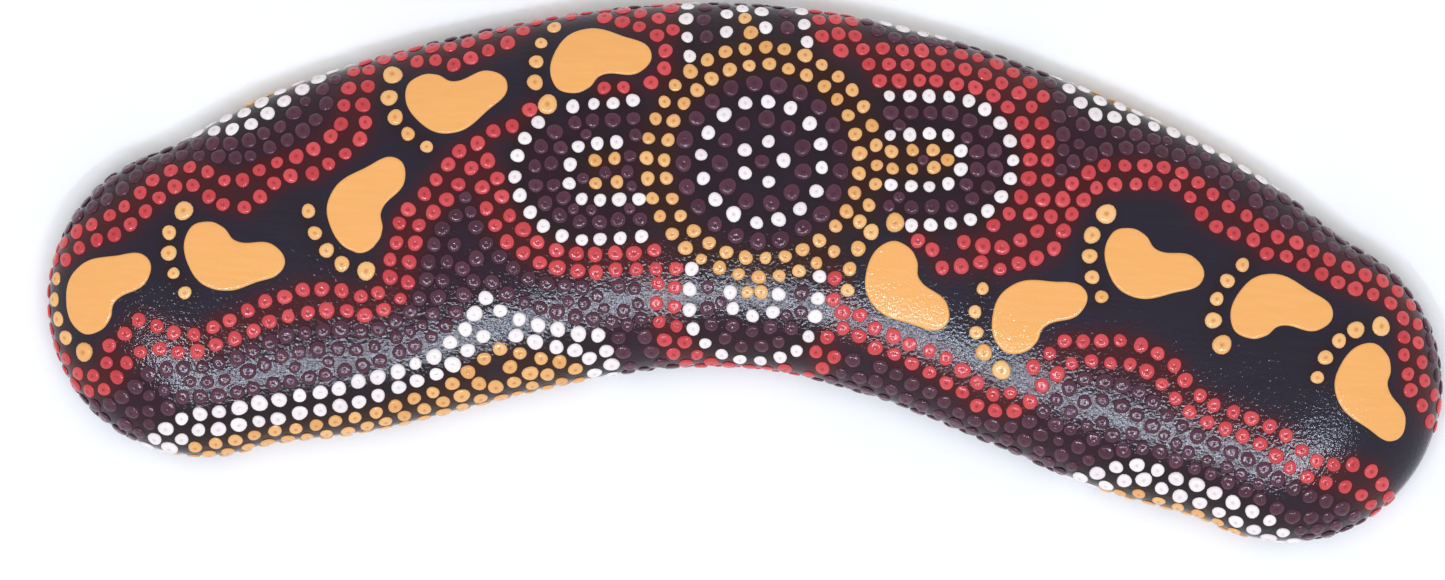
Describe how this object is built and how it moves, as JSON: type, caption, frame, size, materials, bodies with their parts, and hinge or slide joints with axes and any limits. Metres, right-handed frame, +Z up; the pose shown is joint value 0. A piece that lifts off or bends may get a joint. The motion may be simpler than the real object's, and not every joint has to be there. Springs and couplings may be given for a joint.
{
  "type": "boomerang",
  "caption": "Solid wooden boomerang with rounded pillow-shaped arms, a painted dot and footprint pattern, and a flat underside to lie on.",
  "frame": {"origin": "bottom centre of the bounding box: on the flat underside, midway between the tips", "axes": "+X along the span, +Y towards the convex side of the elbow, +Z up out of the painted face"},
  "size_m": [0.2996, 0.1057, 0.0189],
  "materials": {
    "varnished_wood": "pale hardwood under clear gloss varnish",
    "ground_paint": "blue-black acrylic paint under clear gloss varnish",
    "ochre_paint": "thick ochre acrylic paint under clear gloss varnish",
    "red_paint": "raised red acrylic dots under clear gloss varnish",
    "plum_paint": "raised plum acrylic dots under clear gloss varnish",
    "white_paint": "raised white acrylic dots under clear gloss varnish"
  },
  "bodies": {
    "root": {"wooden_body": "varnished_wood", "ground_coat": "ground_paint", "sole_left_1": "ochre_paint", "sole_left_2": "ochre_paint", "sole_left_3": "ochre_paint", "sole_left_4": "ochre_paint", "sole_left_5": "ochre_paint", "sole_right_1": "ochre_paint", "sole_right_2": "ochre_paint", "sole_right_3": "ochre_paint", "sole_right_4": "ochre_paint", "sole_right_5": "ochre_paint", "big_toe_left_1": "ochre_paint", "big_toe_left_2": "ochre_paint", "big_toe_left_3": "ochre_paint", "big_toe_left_4": "ochre_paint", "big_toe_left_5": "ochre_paint", "big_toe_right_1": "ochre_paint", "big_toe_right_2": "ochre_paint", "big_toe_right_3": "ochre_paint", "big_toe_right_4": "ochre_paint", "big_toe_right_5": "ochre_paint"}
  },
  "joints": []
}
